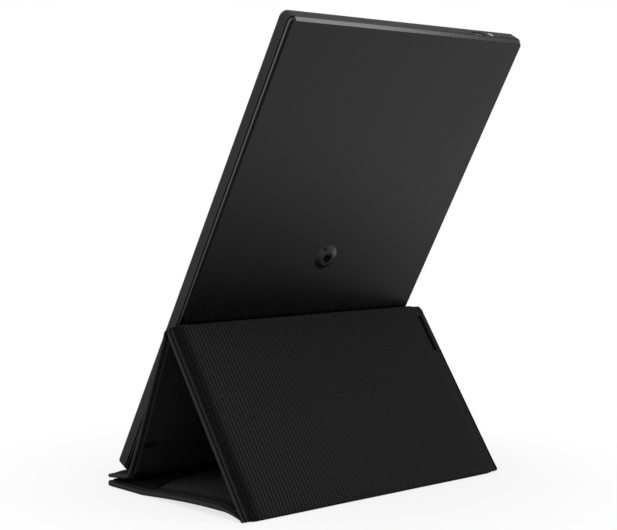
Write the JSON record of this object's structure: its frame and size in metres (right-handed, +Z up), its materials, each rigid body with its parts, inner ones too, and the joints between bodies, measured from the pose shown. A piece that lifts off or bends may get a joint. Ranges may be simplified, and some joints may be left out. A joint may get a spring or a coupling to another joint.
{
  "type": "portable monitor with folio cover",
  "caption": "Slim portable monitor standing in portrait on its folded folio cover, with a tripod socket in the back and a data and a sound socket in the top edge.",
  "frame": {"origin": "on the table, at the middle of the flat front part of the cover's base", "axes": "+X across the cover, to the right as seen from the screen side; +Y towards the rear fold; +Z up"},
  "size_m": [0.252, 0.1857, 0.3268],
  "materials": {
    "cloth": "ribbed black cloth",
    "lining": "smooth black lining",
    "pad": "matte",
    "board": "stiff board",
    "magnet": "plated",
    "shell": "brushed dark",
    "frame": "fine matte",
    "bezel": "matte",
    "tape": "foam tape",
    "cell": "anti-glare",
    "guide": "clear with white sheets",
    "light": "small lamps on a strip",
    "steel": "bright",
    "circuit": "solder mask",
    "cable": "film",
    "boss": "satin",
    "brass": "turned"
  },
  "bodies": {
    "base": {"base_cloth": "cloth", "base_board": "board", "base_lining": "lining", "grip_pad": "pad", "base_magnets": "magnet", "rear_hinge_strip": "cloth"},
    "rear_panel": {"rear_cloth": "cloth", "rear_board": "board", "rear_lining": "lining", "ridge_hinge_strip": "cloth"},
    "upper_panel": {"upper_cloth": "cloth", "upper_board": "board", "upper_lining": "lining", "low_hinge_strip": "cloth"},
    "lower_panel": {"lower_cloth": "cloth", "lower_board": "board", "lower_lining": "lining", "lip_hinge_strip": "cloth"},
    "lip": {"lip_cloth": "cloth", "lip_board": "board", "lip_lining": "lining", "lip_magnets": "magnet"},
    "monitor": {"back_cover": "shell", "side_frame": "frame", "bezel": "bezel", "screen_tape": "tape", "display_cell": "cell", "light_guide": "guide", "light_bar": "light", "panel_tray": "steel", "driver_board": "circuit", "flat_cable": "cable", "main_board": "circuit", "shield_can": "steel", "data_socket": "steel", "sound_socket": "frame", "board_screws": "steel", "frame_screws": "steel", "tripod_boss": "boss", "tripod_insert": "brass", "switch_board": "circuit"},
    "power_button": {"power_key": "bezel"},
    "menu_button": {"menu_key": "bezel"}
  },
  "joints": [
    {"name": "rear_fold", "type": "hinge", "parent": "base", "child": "rear_panel", "pos_m": [0, 0.13095, 0.002], "axis": [-1, 0, 0], "range_deg": [0, 124]},
    {"name": "ridge_fold", "type": "hinge", "parent": "rear_panel", "child": "upper_panel", "pos_m": [0, 0.04996, 0.11864], "axis": [-1, 0, 0], "range_deg": [0, 110]},
    {"name": "low_fold", "type": "hinge", "parent": "upper_panel", "child": "lower_panel", "pos_m": [0, 0.01679, 0.03444], "axis": [1, 0, 0], "range_deg": [0, 3.6]},
    {"name": "lip_fold", "type": "hinge", "parent": "lower_panel", "child": "lip", "pos_m": [0, 0.00534, 0.00999], "axis": [1, 0, 0], "range_deg": [0, 58.4]},
    {"name": "monitor_lift", "type": "slide", "parent": "upper_panel", "child": "monitor", "axis": [0, 0.4919, 0.8707], "range_m": [0, 0.14]},
    {"name": "power_press", "type": "slide", "parent": "monitor", "child": "power_button", "axis": [0, 0.8707, -0.4919], "range_m": [0, 0.0004], "stiffness_N_per_m": 1500, "springref_m": -0.0004},
    {"name": "menu_press", "type": "slide", "parent": "monitor", "child": "menu_button", "axis": [0, 0.8707, -0.4919], "range_m": [0, 0.0004], "stiffness_N_per_m": 1500, "springref_m": -0.0004}
  ],
  "couplings": [
    {"joint": "low_fold", "follows": "ridge_fold", "ratio": 0.032695},
    {"joint": "lip_fold", "follows": "ridge_fold", "ratio": 0.53038}
  ]
}
